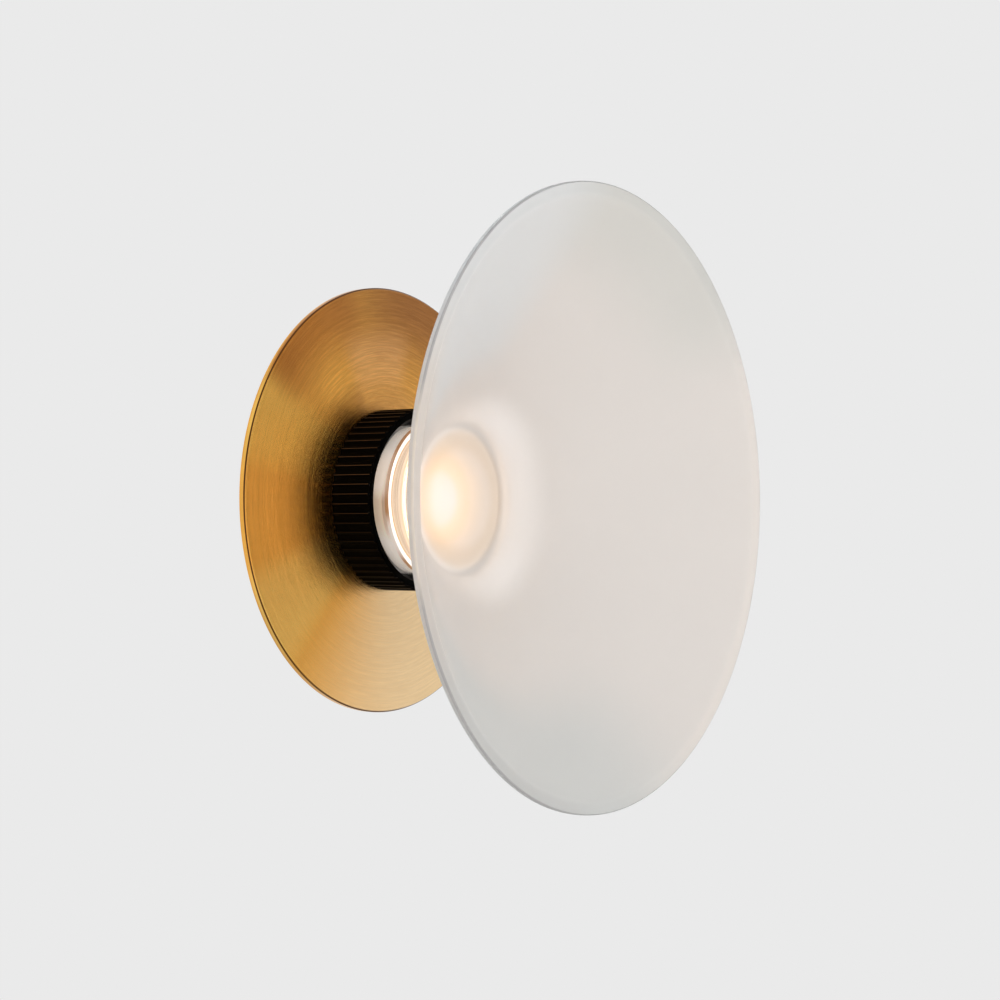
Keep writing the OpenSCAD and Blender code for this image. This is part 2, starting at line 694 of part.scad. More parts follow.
// Round board of the LEDs
module led_board() {
    color("snow") out() difference() {
        ring(board_r, 0, pad_front, board_front);
        for (a = board_screw_turns) rotate(a) translate([board_screw_r, 0, pad_front - cut])
            cylinder(r = small_screw_d / 2 + screw_clear, h = board_t + 2 * cut, $fn = 48);
        lead_hole(pad_front, board_front);
    }
}

// The LEDs, in two rings
module leds() {
    color("moccasin") out() at(board_front) {
        for (i = [0:led_count - 1]) rotate(360 * i / led_count) translate([led_ring_r, 0, 0]) led();
        for (i = [0:led_inner_count - 1]) rotate(360 * i / led_inner_count)
            translate([led_inner_r, 0, 0]) led();
    }
}

// One LED package, with a shallow well for its phosphor
module led() {
    difference() {
        translate([-led_w / 2, -led_w / 2, 0]) cube([led_w, led_w, led_t]);
        translate([0, 0, led_t - 0.15]) cylinder(d = led_w - 0.6, h = 1, $fn = 32);
    }
}

// Screws of the LED board
module board_screws() {
    color("gainsboro") out() for (a = board_screw_turns) rotate(a) translate([board_screw_r, 0, board_front])
        pan_screw(small_screw_d, board_t + pad_t + drum_plate_t, small_head_d, small_head_t);
}

// Push-in connector on the LED board, with a port for each lead
module lead_connector() {
    color("white") out() translate([0, -connector_down, board_front])
        round_plate(connector_w, connector_h, connector_t, 0.4);
}

// LED leads, from the driver through the drum to the connector
module red_lead() { color("firebrick") out() lead(red_route, led_lead_d); }
module black_lead() { color("black") out() lead(black_route, led_lead_d); }

// Satin lens over the LEDs: a foot, an upright side and a domed front
module led_lens() {
    dome_r = (lens_r * lens_r + lens_rise * lens_rise) / (2 * lens_rise);
    reach = asin(lens_r / dome_r);
    inner_reach = asin((lens_r - lens_wall) / (dome_r - lens_wall));
    dome_back = lens_side_front + lens_rise - dome_r;
    color("ivory") out() rotate_extrude() polygon(concat(
        [[lens_r - lens_wall, drum_front], [drum_r, drum_front], [drum_r, drum_front + lens_foot_t],
            [lens_r, drum_front + lens_foot_t]],
        arc(0, dome_back, dome_r, 90 - reach, 90, 8),
        arc(0, dome_back, dome_r - lens_wall, 90, 90 - inner_reach, 8)));
}

// Ring that is pushed over the drum and holds the foot of the lens
module lens_ring() {
    foot_front = drum_front + lens_foot_t;
    front = foot_front + 1.2;
    back = front - ring_len;
    color("whitesmoke") out() rotate_extrude() polygon([
        [drum_r + fit_clear, back], [ring_r, back], [ring_r, front - 0.5], [ring_r - 0.5, front],
        [lens_r + 0.3, front], [lens_r + 0.3, foot_front], [drum_r + fit_clear, foot_front]]);
}

// Soft rings behind and in front of the ring on the neck
module rear_gasket() {
    outer = housing_r - 0.1;
    color("gray") out() ring(outer, outer - rear_gasket_w, housing_rim, flange_rear);
}
module front_gasket() {
    color("gray") out() ring(flange_r, lip_r, flange_front, lip_rear);
}

// Ring bonded on the back of the neck. The collar, put over the neck before it, holds the glass by it.
module neck_ring() {
    inner = neck_r + fit_clear;
    edge = 0.4;
    color("silver") out() rotate_extrude($fn = 240) polygon([
        [inner, flange_rear], [flange_r - edge, flange_rear], [flange_r, flange_rear + edge],
        [flange_r, flange_front - edge], [flange_r - edge, flange_front], [inner, flange_front]]);
}

// One piece of glass: a clear neck, its frosted end and the frosted dish
module glass_shade() { color("azure", 0.6) out() rotate_extrude($fn = 240) polygon(glass_outline()); }

// Outline of the glass, as [distance from the axis, distance from the wall]
function glass_outline() =
    let (
        rim_r = dish_d / 2,
        rim_back = dish_front - rim_t,
        band_r = rim_r - band_w,
        band_back = dish_front - (band_w - rim_round) * tan(band_slope),
        slope = dish_slope(band_r, band_back),
        wall_back = dish_wall / cos(slope),
        corner = 2.5,
        // The rounded bend from the band into the cone
        bend = 3,
        half_bend = (slope - band_slope) / 2,
        bend_reach = bend / cos(half_bend),
        bend_turn = 90 + band_slope + half_bend,
        // The inner side of the dish, from its band to the frosted end
        throat_start = band_r - (band_back - septum_front) / tan(slope),
        throat_x = throat_start - throat_r * tan(slope / 2),
        // The outer side: a fillet from the neck, and the cone up to the flat back of the rim
        fillet = 4,
        cone_at_neck = band_back - (band_r - neck_r) * tan(slope) - wall_back,
        fillet_back = cone_at_neck - fillet * tan(45 - slope / 2),
        back_r = band_r + (rim_back + wall_back - band_back) / tan(slope))
    concat(
        [[neck_bore_r, flange_rear], [neck_r, flange_rear]],
        arc(neck_r + fillet, fillet_back, fillet, 180, 90 + slope, 3),
        [[back_r, rim_back]],
        arc(rim_r - rim_round, rim_back + rim_round, rim_round, -90, 0, 2),
        arc(rim_r - rim_round, dish_front - rim_round, rim_round, 0, 90 + band_slope, 3),
        arc(band_r - bend_reach * cos(bend_turn), band_back - bend_reach * sin(bend_turn), bend,
            90 + band_slope, 90 + slope, 2),
        arc(throat_x, septum_front + throat_r, throat_r, -90 + slope, -90, 5),
        [[0, septum_front], [0, septum_back]],
        arc(neck_bore_r - corner, septum_back - corner, corner, 90, 0, 3));

// Slope of the dish, in degrees: its inner side runs from the band to the edge of the neck's bore
function dish_slope(band_r, band_back) =
    atan((band_back - septum_front) / (band_r - neck_bore_r + 0.75));

// Black collar: flutes outside, bore for the thread, and a lip in front of the glass
module fluted_collar() {
    pitch = 2 * PI * collar_r / flute_count;
    chord = pitch - rib_top;
    flute_r = (chord * chord / 4 + flute_depth * flute_depth) / (2 * flute_depth);
    color("#141414") out() difference() {
        rotate_extrude($fn = 240) polygon([
            [bore_r + 0.5, collar_rear], [collar_r - 0.4, collar_rear], [collar_r, collar_rear + 0.4],
            [collar_r, collar_front - collar_chamfer], [collar_r - collar_chamfer, collar_front],
            [lip_r + 0.3, collar_front], [lip_r, collar_front - 0.3], [lip_r, lip_rear],
            [bore_r, lip_rear], [bore_r, collar_rear + 0.5]]);
        for (i = [0:flute_count - 1]) rotate(360 * i / flute_count)
            translate([collar_r - flute_depth + flute_r, 0, collar_rear - cut])
                cylinder(r = flute_r, h = collar_len + 2 * cut, $fn = 32);
    }
}

brass_disc();
wall_bracket();
base_housing();
housing_screws();
cable_grommet();
earth_tag();
earth_washer();
earth_screw();
earth_lead();
terminal_body();
terminal_clamps();
terminal_clamp_screws();
terminal_fixing_screws();
driver_case();
driver_lid();
driver_board();
driver_transformer();
driver_capacitors();
driver_choke();
driver_screws();
brown_lead();
blue_lead();
heat_spreader();
spreader_screws();
thermal_pad();
led_board();
leds();
board_screws();
lead_connector();
red_lead();
black_lead();
led_lens();
lens_ring();
rear_gasket();
front_gasket();
neck_ring();
glass_shade();
fluted_collar();
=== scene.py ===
import math

import bpy
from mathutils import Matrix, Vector


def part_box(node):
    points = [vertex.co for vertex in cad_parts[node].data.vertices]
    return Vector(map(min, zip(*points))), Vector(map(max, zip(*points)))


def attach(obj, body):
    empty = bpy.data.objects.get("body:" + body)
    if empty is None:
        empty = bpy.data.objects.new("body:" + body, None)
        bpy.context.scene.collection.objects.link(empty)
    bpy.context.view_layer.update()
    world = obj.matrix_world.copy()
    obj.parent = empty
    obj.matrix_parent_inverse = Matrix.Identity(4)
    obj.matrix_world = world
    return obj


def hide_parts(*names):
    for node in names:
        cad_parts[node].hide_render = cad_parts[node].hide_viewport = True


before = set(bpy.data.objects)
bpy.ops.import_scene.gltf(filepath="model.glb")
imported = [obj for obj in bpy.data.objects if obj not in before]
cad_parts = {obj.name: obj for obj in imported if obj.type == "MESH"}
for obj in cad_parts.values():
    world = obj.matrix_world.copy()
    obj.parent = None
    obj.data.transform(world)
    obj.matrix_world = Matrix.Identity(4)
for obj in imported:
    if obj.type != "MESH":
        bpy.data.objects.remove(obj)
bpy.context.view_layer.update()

MM = 0.001

# Sizes that the frame gives: the lamp looks along -Y, and the wall is the plane y = 0
disc_low, disc_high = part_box("brass_disc")
collar_low, collar_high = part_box("fluted_collar")
glass_low, glass_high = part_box("glass_shade")
lens_ring_low, lens_ring_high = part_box("lens_ring")
DISC_R = disc_high[0]
DISC_T = -disc_low[1]
COLLAR_R = collar_high[0]
COLLAR_REAR = -collar_high[1]
COLLAR_FRONT = -collar_low[1]
DISH_R = glass_high[0]
DISH_FRONT = -glass_low[1]
NECK_REAR = -glass_high[1]

# Sizes that the construction gives
DISC_HOLE_R = 37.5 * MM
DISC_CHAMFER = 0.8 * MM
FACE_RINGS = (60 * MM, 80 * MM)
COLLAR_BORE_R = 40.6 * MM
COLLAR_LIP_R = 38.75 * MM
COLLAR_LIP_REAR = 22.55 * MM
COLLAR_CHAMFER = 0.6 * MM
COLLAR_REAR_CHAMFER = 0.4 * MM
LIP_CHAMFER = 0.3 * MM
BORE_CHAMFER = 0.5 * MM
FLUTES = 60
FLUTE_DEPTH = 0.9 * MM
RIB_TOP = 0.6 * MM
WORN_CREST = 0.05 * MM
NECK_R = 38.4 * MM
NECK_BORE_R = 34 * MM
SEPTUM_FRONT = 45.6 * MM
SEPTUM_BACK = 41.2 * MM
BORE_CORNER = 2.5 * MM
DISH_WALL = 3.6 * MM
BAND_W = 6 * MM
BAND_SLOPE = math.radians(11)
RIM_T = 3.1 * MM
RIM_ROUND = 0.8 * MM
BAND_BEND = 5 * MM
THROAT_R = 12 * MM
NECK_FILLET = 4 * MM
FROST_START = 43.3 * MM
GLASS_IOR = 1.5
DRUM_R = 31.5 * MM
DRUM_FRONT = 28 * MM
LENS_R = 30 * MM
LENS_WALL = 1.8 * MM
LENS_FOOT_T = 1.5 * MM
LENS_SIDE_FRONT = 34.5 * MM
LENS_RISE = 3.5 * MM
LENS_RING_R = 33 * MM

# Roundness of turned pieces
TURN_SIDES = 256
LENS_SIDES = 128
# Radius of the ring that closes a turned piece at the axis
CORE_R = 0.6 * MM
# Vertices closer than this are merged
MERGE = 0.002 * MM
# Lengths that differ by less than this are the same
SAME = 0.001 * MM

# Stage and light
FLOOR_SIZE = 1.3
FLOOR_AT = (0.1, -0.1, -0.55)
BACKDROP = (0.823, 0.823, 0.823)
LIGHT_BELOW = (0.96, 0.93, 0.905)
LIGHT_ABOVE = (0.67, 0.68, 0.69)
ROOM_BELOW = (1.0, 0.98, 0.96)
ROOM_ABOVE = (0.70, 0.68, 0.66)
LED_STRENGTH = 7.0
LAMP_AT = (-0.15, -1.6, 0.25)
LAMP_AIM = (0, -0.06, 0)
LAMP_SIZE = 0.9
LAMP_POWER = 6.0
LAMP_COLOUR = (1.0, 0.94, 0.88)

# Directions round the axis, in degrees, seen from the front
RIGHT = 0
UP = 90
LEFT = 180

# Camera, as fitted to the outlines of the disc, the collar and the rim
IMAGE_PX = 1000
FOCAL_PX = 2100
SENSOR_MM = 36
CAMERA_AT = (-0.77423, -0.62650, -0.01264)
CAMERA_TARGET = (0.00840, -0.06163, -0.00034)


def add_camera():
    data = bpy.data.cameras.new("camera")
    data.sensor_width = SENSOR_MM
    data.lens = FOCAL_PX / IMAGE_PX * SENSOR_MM
    data.clip_start = 0.01
    camera = bpy.data.objects.new("camera", data)
    camera.location = CAMERA_AT
    ahead = Vector(CAMERA_TARGET) - Vector(CAMERA_AT)
    camera.rotation_euler = ahead.to_track_quat("-Z", "Y").to_euler()
    bpy.context.collection.objects.link(camera)
    bpy.context.scene.camera = camera


class Wire:
    """An output of a node. Arithmetic on wires adds Math nodes to their material."""

    def __init__(self, finish, socket):
        self.finish = finish
        self.socket = socket

    def maths(self, operation, first, second):
        return self.finish.node("ShaderNodeMath", {"operation": operation}, {0: first, 1: second})

    def __add__(self, other):
        return self.maths("ADD", self, other)

    def __radd__(self, other):
        return self.maths("ADD", other, self)

    def __sub__(self, other):
        return self.maths("SUBTRACT", self, other)

    def __rsub__(self, other):
        return self.maths("SUBTRACT", other, self)

    def __mul__(self, other):
        return self.maths("MULTIPLY", self, other)

    def __rmul__(self, other):
        return self.maths("MULTIPLY", other, self)

    def __pow__(self, other):
        return self.maths("POWER", self, other)


class Finish:
    """A node tree under construction, for a material or for the world."""

    def __init__(self, owner):
        owner.use_nodes = True
        self.owner = owner
        self.tree = owner.node_tree
        self.tree.nodes.clear()

    def node(self, kind, settings=None, inputs=None, output=0):
        """Adds a node, with its settings and the links or values of its sockets, and gives one output."""
        made = self.tree.nodes.new(kind)
        for name, value in (settings or {}).items():
            setattr(made, name, value)
        for name, value in (inputs or {}).items():
            if isinstance(value, Wire):
                self.tree.links.new(value.socket, made.inputs[name])
            else:
                made.inputs[name].default_value = value
        return Wire(self, made.outputs[output]) if made.outputs else None

    def function(self, name, value):
        return self.node("ShaderNodeMath", {"operation": name}, {0: value})

    def coordinates(self):
        """Object coordinates, in metres from the lamp's origin."""
        return self.node("ShaderNodeTexCoord", output="Object")

    def split(self, vector):
        """The three parts of a vector."""
        parts = self.node("ShaderNodeSeparateXYZ", {}, {0: vector})
        return [Wire(self, socket) for socket in parts.socket.node.outputs]

    def places(self):
        """Distance from the axis, distance from the wall, and angle round the axis."""
        x, y, z = self.split(self.coordinates())
        radius = (x * x + z * z) ** 0.5
        return radius, 0 - y, self.node("ShaderNodeMath", {"operation": "ARCTAN2"}, {0: z, 1: x})

    def round_axis(self, radius, angle, fineness, turns):
        """Coordinates for a noise that is drawn out in circles round the axis, without a seam."""
        across, along = self.function("COSINE", angle), self.function("SINE", angle)
        return self.node("ShaderNodeCombineXYZ", {}, {
            0: radius * fineness, 1: across * turns, 2: along * turns})

    def towards(self, angle, degrees):
        """Cosine of the turn round the axis between a place and a direction (0 is right, 90 is up)."""
        return self.function("COSINE", angle - math.radians(degrees))

    def noise(self, vector, scale, detail, roughness):
        return self.node("ShaderNodeTexNoise", {}, {
            "Vector": vector, "Scale": scale, "Detail": detail, "Roughness": roughness})

    def noise_along(self, length, scale, detail, roughness):
        return self.node("ShaderNodeTexNoise", {"noise_dimensions": "1D"}, {
            "W": length, "Scale": scale, "Detail": detail, "Roughness": roughness})

    def step(self, value, low, high):
        """0 below low and 1 above high."""
        return self.node("ShaderNodeMapRange", {"interpolation_type": "SMOOTHSTEP"}, {
            "Value": value, "From Min": low, "From Max": high})

    def window(self, length, rise=None, fall=None):
        """1 between two soft edges. Each edge is a pair of lengths in millimetres, or is left out."""
        inside = 1.0
        if rise:
            inside = self.step(length, rise[0] * MM, rise[1] * MM)
        if fall:
            inside = (1 - self.step(length, fall[0] * MM, fall[1] * MM)) * inside
        return inside

    def spread(self, value, low, high):
        """Turns 0..1 into low..high."""
        return self.node("ShaderNodeMapRange", {}, {"Value": value, "To Min": low, "To Max": high})

    def mix(self, factor, first, second, how="MIX"):
        """A blend of two colours."""
        first = first if isinstance(first, Wire) else colour(first)
        second = second if isinstance(second, Wire) else colour(second)
        return self.node("ShaderNodeMix", {"data_type": "RGBA", "blend_type": how}, {
            0: factor, 6: first, 7: second}, output=2)

    def bump(self, height, distance, strength):
        return self.node("ShaderNodeBump", {}, {
            "Height": height, "Distance": distance, "Strength": strength})

    def surface(self, **values):
        """A principled shader, with the names of its sockets in lower case."""
        inputs = {}
        for name, value in values.items():
            name = name.replace("_", " ").title().replace("Ior", "IOR")
            if name in ("Base Color", "Emission Color") and not isinstance(value, Wire):
                value = colour(value)
            inputs[name] = value
        return self.node("ShaderNodeBsdfPrincipled", {}, inputs)

    def finish(self, shader, kind="ShaderNodeOutputMaterial"):
        self.node(kind, {}, {"Surface": shader})
        return self.owner


def colour(shade):
    """A shade with its alpha, as sockets take it."""
    return (*shade, 1.0)


def material(name):
    return Finish(bpy.data.materials.new(name))


# Modelling helpers


def deselect_all():
    if bpy.context.object and bpy.context.object.mode != "OBJECT":
        bpy.ops.object.mode_set(mode="OBJECT")
    bpy.ops.object.select_all(action="DESELECT")


def select(piece):
    deselect_all()
    bpy.context.view_layer.objects.active = piece
    piece.select_set(True)


def settle(piece):
    """Moves a piece's place, turn and scale into its mesh."""
    select(piece)
    bpy.ops.object.transform_apply(location=True, rotation=True, scale=True)


def edit(piece):
    select(piece)
    bpy.ops.object.mode_set(mode="EDIT")
    bpy.ops.mesh.select_mode(type="VERT")


def pick(piece, test):
    """In edit mode, selects the vertices that pass a test on their place."""
    bpy.ops.mesh.select_mode(type="VERT")
    bpy.ops.mesh.select_all(action="DESELECT")
    bpy.ops.object.mode_set(mode="OBJECT")
    for vertex in piece.data.vertices:
        vertex.select = test(vertex.co)
    bpy.ops.object.mode_set(mode="EDIT")


def from_axis(place):
    return math.hypot(place.x, place.z)


def tidy_shell():
    """In edit mode, closes the seams of a shell and turns its faces outwards."""
    bpy.ops.mesh.select_all(action="SELECT")
    bpy.ops.mesh.remove_doubles(threshold=MERGE)
    bpy.ops.mesh.normals_make_consistent(inside=False)


def smooth(piece, degrees=28):
    """Shades a piece smooth, apart from its edges that are sharper than an angle."""
    select(piece)
    bpy.ops.object.shade_smooth_by_angle(angle=math.radians(degrees))


def extrude_ring(distance, scale, at):
    """Extrudes the selected ring away from the wall, and scales it round the axis."""
    bpy.ops.mesh.extrude_region_move(TRANSFORM_OT_translate={"value": (0, -distance, 0)})
    bpy.ops.transform.resize(value=(scale, 1, scale), center_override=(0, -at, 0))


def arc(cx, cy, radius, start, end, steps):
    """Points of an arc, with its angles in degrees."""
    angles = [math.radians(start + (end - start) * i / steps) for i in range(steps + 1)]
    return [(cx + radius * math.cos(a), cy + radius * math.sin(a)) for a in angles]


def turned(name, stations, solid_core=False, sides=TURN_SIDES):
    """Turns an outline of (distance from the axis, distance from the wall) round the axis.

    The outline is closed, or with a solid core it starts and ends close to the axis.
    """
    deselect_all()
    radius, distance = stations[0]
    bpy.ops.mesh.primitive_circle_add(
        vertices=sides, radius=radius, location=(0, -distance, 0), rotation=(math.pi / 2, 0, 0))
    piece = bpy.context.object
    piece.name = name
    settle(piece)
    edit(piece)
    bpy.ops.mesh.select_all(action="SELECT")
    for next_radius, next_distance in stations[1:] + ([] if solid_core else stations[:1]):
        extrude_ring(next_distance - distance, next_radius / radius, next_distance)
        radius, distance = next_radius, next_distance
    if solid_core:
        for end in (stations[0][1], stations[-1][1]):
            pick(piece, lambda place: from_axis(place) < CORE_R + SAME and abs(-place.y - end) < SAME)
            bpy.ops.mesh.edge_face_add()
            bpy.ops.mesh.select_mode(type="FACE")
            bpy.ops.mesh.poke()
    tidy_shell()
    bpy.ops.object.mode_set(mode="OBJECT")
    return piece


def give(piece, finish):
    piece.data.materials.clear()
    piece.data.materials.append(finish)


def fit(piece, body, slot, *nodes):
    """Puts a piece on its body, in place of the construction's nodes. Its slot is not used."""
    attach(piece, body)
    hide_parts(*nodes)


# Finishes


def brushed_brass():
    """Golden brass brushed in circles, with painted reflections: coppery towards the top, pale towards the
    bottom right.
    """
    m = material("brushed_brass")
    radius, distance, angle = m.places()
    fine = m.noise_along(radius, 9000.0, 2.0, 0.6)
    rings = m.noise_along(radius, 620.0, 2.0, 0.7)
    stroke = m.noise(m.round_axis(radius, angle, 1900.0, 6.0), 1.0, 3.0, 0.7)
    hair = m.noise(m.round_axis(radius, angle, 4200.0, 9.0), 1.0, 2.0, 0.6)
    height = fine * 0.6 + hair * 0.45 + stroke * 0.25
    front = m.step(distance, 0.4 * MM, 1.5 * MM)
    shade = (0.93, 0.475, 0.093)
    # Painted reflections and shade. Each sector's direction in degrees, cosines at its edge, rise and fall
    # along the radius, strength and colour. The last two are painted shade of the collar and of the dish on
    # the face.
    for degrees, low, high, rise, fall, strength, painted_tint in (
            (-60, 0.25, 1.0, None, None, 1.0, (0.83, 0.615, 0.355)),
            (157, 0.955, 0.995, None, None, 1.0, (1.0, 0.58, 0.125)),
            (213, 0.955, 0.995, None, None, 1.0, (1.0, 0.61, 0.155)),
            (126, 0.90, 0.97, (62, 96), None, 0.9, (0.53, 0.20, 0.038)),
            (57, 0.3, 0.95, (36, 94), None, 1.0, (0.39, 0.165, 0.048)),
            (97, 0.93, 0.985, (48, 60), (70, 86), 0.3, (0.92, 0.52, 0.26)),
            (124, 0.965, 0.995, None, (50, 66), 0.5, (0.30, 0.12, 0.03)),
            (92, 0.85, 0.97, None, (44, 62), 0.45, (0.45, 0.22, 0.10))):
        sector = m.step(m.towards(angle, degrees), low, high)
        shade = m.mix(front * sector * m.window(radius, rise, fall) * strength, shade, painted_tint)
    # Painted highlight: streaks along the brushing, strongest at the top
    glint_streak = m.step(rings * 0.3 + stroke * 0.7, 0.40, 0.68)
    strength = m.spread(m.step(m.towards(angle, 80), -0.2, 0.9), 0.3, 0.9)
    painted_glint = m.mix(glint_streak, (0.86, 0.84, 0.80), (1.16, 1.20, 1.26))
    shade = m.mix(strength, shade, m.mix(1.0, shade, painted_glint, "MULTIPLY"))
    # The outer part of the chamfer is dark
    dark_edge = m.step(radius, DISC_R - 0.62 * MM, DISC_R - 0.5 * MM) * m.step(
        distance, DISC_T - 0.8 * MM, DISC_T - 0.72 * MM)
    shade = m.mix(dark_edge, shade, (0.13, 0.045, 0.012))
    return m.finish(m.surface(
        base_color=shade, metallic=1.0, roughness=m.spread(hair, 0.20, 0.28),
        normal=m.bump(height, 0.05 * MM, 1.0)))


def black_metal():
    """Near-black satin metal with a thin brown line along each rib: rubbed wear, with a painted reflection.
    """
    m = material("black_metal")
    radius, _, angle = m.places()
    crest = m.step(m.function("COSINE", angle * FLUTES) * -1, 0.972, 0.992)
    crest = crest * m.step(radius, COLLAR_R - 0.12 * MM, COLLAR_R - 0.03 * MM)
    grain = m.noise(m.coordinates(), 2600.0, 3.0, 0.6)
    # Painted reflection: the line along the crests is brighter on the upper side of the collar
    line = m.mix(m.step(m.towards(angle, UP), -0.5, 0.4), (0.022, 0.013, 0.007), (0.12, 0.062, 0.030))
    return m.finish(m.surface(
        base_color=m.mix(crest, (0.0009, 0.0008, 0.0007), line), specular_ior_level=0.02,
        roughness=m.spread(grain, 0.36, 0.50), normal=m.bump(grain, 0.012 * MM, 0.5)))


def frosted_colour(m, radius, distance, angle):
    """Milky white; painted light warms the end of the neck, painted shade greys the band and the polished
    edge.
    """
    cloud = m.noise(m.coordinates(), 18.0, 3.0, 0.5)
    milk = m.mix(cloud, (0.875, 0.845, 0.82), (0.905, 0.875, 0.85))
    # Painted glow: the end of the neck is whitest left of its middle, with a warmer fringe and a brown ring
    # of painted shade
    beside, above = m.towards(angle, LEFT) * radius - 16 * MM, m.towards(angle, UP) * radius
    from_core = beside * beside + above * above
    lit = m.mix(m.step(from_core, (18 * MM) ** 2, (25 * MM) ** 2), (0.90, 0.765, 0.64), (0.90, 0.80, 0.71))
    lit = m.mix(m.step(from_core, (9 * MM) ** 2, (15 * MM) ** 2), (0.90, 0.785, 0.755), lit)
    milk = m.mix(m.window(radius, fall=(24, 34)), milk, lit)
    milk = m.mix(m.window(radius, (19, 27), (29, 34)) * 0.55, milk, (0.80, 0.65, 0.49))
    # Painted shade: the band is greyer
    band = m.step(radius, DISH_R - BAND_W - 1 * MM, DISH_R - BAND_W + 2 * MM)
    milk = m.mix(band, milk, (0.84, 0.82, 0.80))
    # Painted light and shade: light gathers unevenly in the glass. Each sector's direction in degrees,
    # cosines at its edge, rise along the radius and painted tint.
    for degrees, low, high, rise, painted_tint in (
            (-112, 0.50, 0.95, (75, 110), (0.90, 0.94, 0.955)),
            (65, 0.75, 0.97, (90, 128), (0.92, 0.945, 0.94)),
            (125, 0.75, 0.97, (50, 75), (0.99, 1.035, 1.07)),
            (LEFT, 0.75, 1.0, (34, 60), (1.0, 0.97, 0.94)),
            (-20, 0.30, 0.90, (131, 134), (1.10, 1.08, 1.06)),
            (-135, 0.70, 0.95, (131, 134), (0.94, 0.93, 0.93))):
        part = m.step(m.towards(angle, degrees), low, high) * m.window(radius, rise)
        milk = m.mix(part, milk, m.mix(1.0, milk, painted_tint, "MULTIPLY"))
    # Painted shade: a dark grey line along the polished edge, with painted light making it warm beside the
    # neck
    edge_line = m.step(radius, DISH_R - 0.75 * MM, DISH_R - 0.4 * MM) * m.step(
        distance, DISH_FRONT - 1.2 * MM, DISH_FRONT - 0.8 * MM)
    painted_light_beside_neck = m.step(m.towards(angle, LEFT), 0.94, 0.985)
    return m.mix(edge_line, milk, m.mix(painted_light_beside_neck, (0.52, 0.515, 0.525), (0.95, 0.88, 0.78)))


def painted_glass_glow(m, radius, distance, angle):
    """Painted light inside the glass near the neck: a halo, and a paler crescent on the right."""
    near_end = 1 - m.step(distance, SEPTUM_FRONT + 0.5 * MM, SEPTUM_FRONT + 18 * MM)
    halo = m.window(radius, fall=(32, 56)) * near_end
    to_right = m.towards(angle, RIGHT)
    crescent = m.window(radius, (34, 40), (42, 54)) * m.step(to_right, -0.25, 0.6) * (
        1 - 0.35 * m.step(to_right, 0.6, 1.0))
    return m.mix(crescent, m.mix(halo, (0, 0, 0), (0.076, 0.069, 0.063)), (0.085, 0.090, 0.095))


def shade_glass():
    """Clear round the neck, acid frosted on the dish and on the end of the neck."""
    m = material("shade_glass")
    radius, distance, angle = m.places()
    grain = m.noise(m.coordinates(), 3200.0, 2.0, 0.6)
    frosted = m.surface(
        base_color=frosted_colour(m, radius, distance, angle), roughness=m.spread(grain, 0.66, 0.76),
        ior=GLASS_IOR, transmission_weight=0.45, specular_ior_level=0.3, normal=m.bump(grain, 0.01 * MM, 0.4),
        emission_color=painted_glass_glow(m, radius, distance, angle), emission_strength=1.0)
    # Inside the neck, its end is satin, and its corner has a painted glow
    inside = 1 - m.step(radius, NECK_BORE_R - 1 * MM, NECK_BORE_R + 0.2 * MM)
    satin = inside * m.step(distance, SEPTUM_BACK - 1.5 * MM, SEPTUM_BACK)
    corner = m.step(distance, SEPTUM_BACK - BORE_CORNER, SEPTUM_BACK - 0.5 * MM) * m.step(
        radius, NECK_BORE_R - BORE_CORNER - 1 * MM, NECK_BORE_R - 0.5 * MM)
    clear = m.surface(
        base_color=(0.97, 0.975, 0.97), roughness=m.spread(satin, 0.02, 0.42), ior=GLASS_IOR,
        transmission_weight=1.0, emission_color=m.mix(corner, (0, 0, 0), (0.30, 0.20, 0.12)),
        emission_strength=1.0)
    frost = m.step(distance, FROST_START, FROST_START + 0.7 * MM)
    return m.finish(m.node("ShaderNodeMixShader", {}, {0: frost, 1: clear, 2: frosted}))


def opal_lens():
    """A satin lens: clear enough in front, opal round its side, with a painted glow bright at its foot and
    its shoulder.
    """
    m = material("opal_lens")
    radius, distance, _ = m.places()
    grain = m.noise(m.coordinates(), 2400.0, 2.0, 0.5)
    round_side = distance + (LENS_R - radius)
    ripple = m.step(m.noise_along(round_side, 620.0, 1.0, 0.5), 0.40, 0.60)
    glow = m.mix(ripple, (0.56, 0.38, 0.25), (0.80, 0.62, 0.47))
    # Painted glow: start of each zone in millimetres, up the side and over the shoulder, and its glow
    for start, shade in (
            (39.3, (1.05, 1.05, 0.98)), (41.3, (1.0, 0.66, 0.28)), (42.3, (0.60, 0.36, 0.15))):
        glow = m.mix(m.window(round_side, (start, start + 0.6)), glow, shade)
    opal = m.surface(
        base_color=(0.30, 0.26, 0.22), roughness=m.spread(grain, 0.26, 0.34),
        emission_color=glow, emission_strength=0.9, normal=m.bump(grain, 0.01 * MM, 0.4))
    # Painted glow in the middle of the lens
    middle = m.mix(m.window(radius, (5, 15)), (0.42, 0.33, 0.29), (0.54, 0.335, 0.06))
    middle = m.mix(m.window(radius, (16, 24)), middle, (0.19, 0.125, 0.06))
    satin = m.surface(
        base_color=(0.93, 0.92, 0.89), roughness=m.spread(grain, 0.34, 0.42), ior=1.45,
        transmission_weight=0.75, emission_color=middle, emission_strength=1.0,
        normal=m.bump(grain, 0.01 * MM, 0.4))
    side = m.window(radius, (21.8, 22.6))
    return m.finish(m.node("ShaderNodeMixShader", {}, {0: side, 1: satin, 2: opal}))


